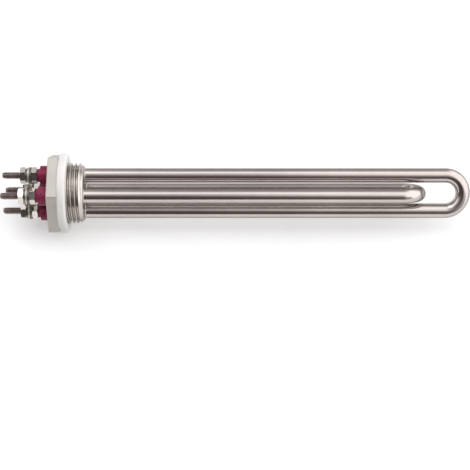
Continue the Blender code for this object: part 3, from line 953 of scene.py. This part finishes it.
STUDIO_RIGHT = (
    (-180.0, 0.47, NEUTRAL),
    (-12.0, 0.42, NEUTRAL),
    (6.0, 0.26, WARM),
    (16.0, 0.14, WARM),
    (30.0, 0.17, WARM),
    (46.0, 0.42, WARM),
    (62.0, 1.06, NEUTRAL),
    (74.0, 1.70, NEUTRAL),
    (112.0, 1.83, NEUTRAL),
    (124.0, 0.94, NEUTRAL),
    (140.0, 0.56, NEUTRAL),
    (160.0, 0.42, NEUTRAL),
    (180.0, 0.34, NEUTRAL),
)
STUDIO_END = (
    (-180.0, 0.50, NEUTRAL),
    (-12.0, 0.50, NEUTRAL),
    (32.0, 0.55, NEUTRAL),
    (50.0, 1.95, NEUTRAL),
    (150.0, 1.95, NEUTRAL),
    (166.0, 1.00, NEUTRAL),
    (180.0, 0.50, NEUTRAL),
)
STUDIO_POLE = ((-180.0, 1.95, NEUTRAL), (180.0, 1.95, NEUTRAL))
# Stops of (how far a direction leans to +X, from -1 to 1; share), one list for each studio that
# is laid over those before it: the strip, the right, the end, and the end's middle, which reaches
# down to the floor
STRIP_SHARE = ((-1.0, 0.0), (-0.42, 0.0), (-0.30, 1.0), (-0.15, 1.0), (-0.105, 0.0), (1.0, 0.0))
RIGHT_SHARE = ((-1.0, 0.0), (0.0, 0.0), (0.06, 0.6), (0.13, 1.0), (1.0, 1.0))
END_SHARE = ((-1.0, 0.0), (0.18, 0.0), (0.46, 1.0), (1.0, 1.0))
POLE_SHARE = ((-1.0, 0.0), (0.62, 0.0), (0.82, 1.0), (1.0, 1.0))


def studio_world():
    """Soft light all round, from softboxes overhead, to the right and past the hairpins' end, and
    dim towards both horizons. The light of a direction is a ramp over its climbing angle, the arc
    tangent of Z over minus Y, mixed from one studio to the next by a ramp over its X."""
    world = bpy.data.worlds.new("studio")
    world.use_nodes = True
    bpy.context.scene.world = world
    tree = world.node_tree
    nodes, links = tree.nodes, tree.links
    direction = nodes.new("ShaderNodeTexCoord")
    parts = nodes.new("ShaderNodeSeparateXYZ")
    links.new(direction.outputs["Generated"], parts.inputs["Vector"])
    near = nodes.new("ShaderNodeMath")
    near.operation = "MULTIPLY"
    near.inputs[1].default_value = -1.0
    links.new(parts.outputs["Y"], near.inputs[0])
    climb = nodes.new("ShaderNodeMath")
    climb.operation = "ARCTAN2"
    links.new(parts.outputs["Z"], climb.inputs[0])
    links.new(near.outputs["Value"], climb.inputs[1])

    def ramp_over(value, low, high, stops):
        """A colour ramp read at the value's share of the way from low to high."""
        share = nodes.new("ShaderNodeMapRange")
        links.new(value, share.inputs["Value"])
        share.inputs["From Min"].default_value = low
        share.inputs["From Max"].default_value = high
        ramp = colour_ramp(nodes.new("ShaderNodeValToRGB"), stops)
        ramp.color_ramp.interpolation = "EASE"
        links.new(share.outputs["Result"], ramp.inputs["Fac"])
        return ramp.outputs["Color"]

    def backdrop(studio):
        """A studio's light, its stops as shares of the brightest and its strength the brightest's."""
        brightest = max(strength for _, strength, _ in studio)
        stops = [
            (angle / 360.0 + 0.5, tuple(strength / brightest * part for part in tint))
            for angle, strength, tint in studio
        ]
        side = nodes.new("ShaderNodeBackground")
        links.new(ramp_over(climb.outputs["Value"], -math.pi, math.pi, stops), side.inputs["Color"])
        side.inputs["Strength"].default_value = brightest
        return side.outputs["Background"]

    light = backdrop(STUDIO_LEFT)
    for studio, shares in (
        (STUDIO_STRIP, STRIP_SHARE),
        (STUDIO_RIGHT, RIGHT_SHARE),
        (STUDIO_END, END_SHARE),
        (STUDIO_POLE, POLE_SHARE),
    ):
        stops = [((lean + 1.0) / 2.0, (share,) * 3) for lean, share in shares]
        mix = nodes.new("ShaderNodeMixShader")
        links.new(ramp_over(parts.outputs["X"], -1.0, 1.0, stops), mix.inputs["Fac"])
        links.new(light, mix.inputs[1])
        links.new(backdrop(studio), mix.inputs[2])
        light = mix.outputs["Shader"]
    links.new(light, nodes["World Output"].inputs["Surface"])


def fill_lamp(name, place, size, power):
    """A wide soft lamp aimed at the heater, hidden from what mirrors."""
    data = bpy.data.lights.new(name, "AREA")
    data.shape = "RECTANGLE"
    data.size, data.size_y = size
    data.energy = power
    lamp = bpy.data.objects.new(name, data)
    bpy.context.scene.collection.objects.link(lamp)
    lamp.location = place
    lamp.rotation_euler = (-Vector(place)).to_track_quat("-Z", "Y").to_euler()
    lamp.visible_glossy = False


def photograph_camera():
    """The camera at the photograph's angle: it looks at a point below the axis in the image. Its
    focal length is to the sensor's width as its distance is to the view's width."""
    back = Vector((0.0, -math.cos(CAMERA_ELEVATION), math.sin(CAMERA_ELEVATION)))
    up = Vector((0.0, math.sin(CAMERA_ELEVATION), math.cos(CAMERA_ELEVATION)))
    target = Vector((shoulder + CAMERA_ALONG, 0.0, 0.0)) - up * CAMERA_DROP
    data = bpy.data.cameras.new("camera")
    data.sensor_width = SENSOR
    data.lens = SENSOR * CAMERA_DISTANCE / VIEW_WIDTH
    camera = bpy.data.objects.new("camera", data)
    bpy.context.scene.collection.objects.link(camera)
    right = up.cross(back)
    turn = Matrix((right, up, back)).transposed()
    camera.matrix_world = Matrix.Translation(target + back * CAMERA_DISTANCE) @ turn.to_4x4()
    bpy.context.scene.camera = camera


leg_axes = {place: axis_of(f"terminal_stud_{place}") for place in PLACES}
finishes = make_finishes()

hexagon_head(finishes)
threaded_shank(finishes)
braze_fillets(finishes)
sealing_gasket(finishes)
for length in HAIRPINS:
    hairpin_sheath(length, finishes)
    keep_solid(f"{length}_magnesia_filler", finishes["magnesia"])
    keep_solid(f"{length}_resistance_coil", finishes["coil_wire"])
for place in PLACES:
    insulating_bush(place, finishes)
    terminal_stud(place, finishes)
    for which in ("inner", "outer"):
        nut(which, place, finishes)
        flat_washer(which, place, finishes)
    spring_washer(place, finishes)
    keep_solid(f"end_seal_{place}", finishes["end_sealant"])

white_floor()
studio_world()
fill_lamp("overhead_fill", LAMP_PLACE, LAMP_SIZE, LAMP_POWER)
photograph_camera()
bpy.context.scene.view_settings.view_transform = "Standard"
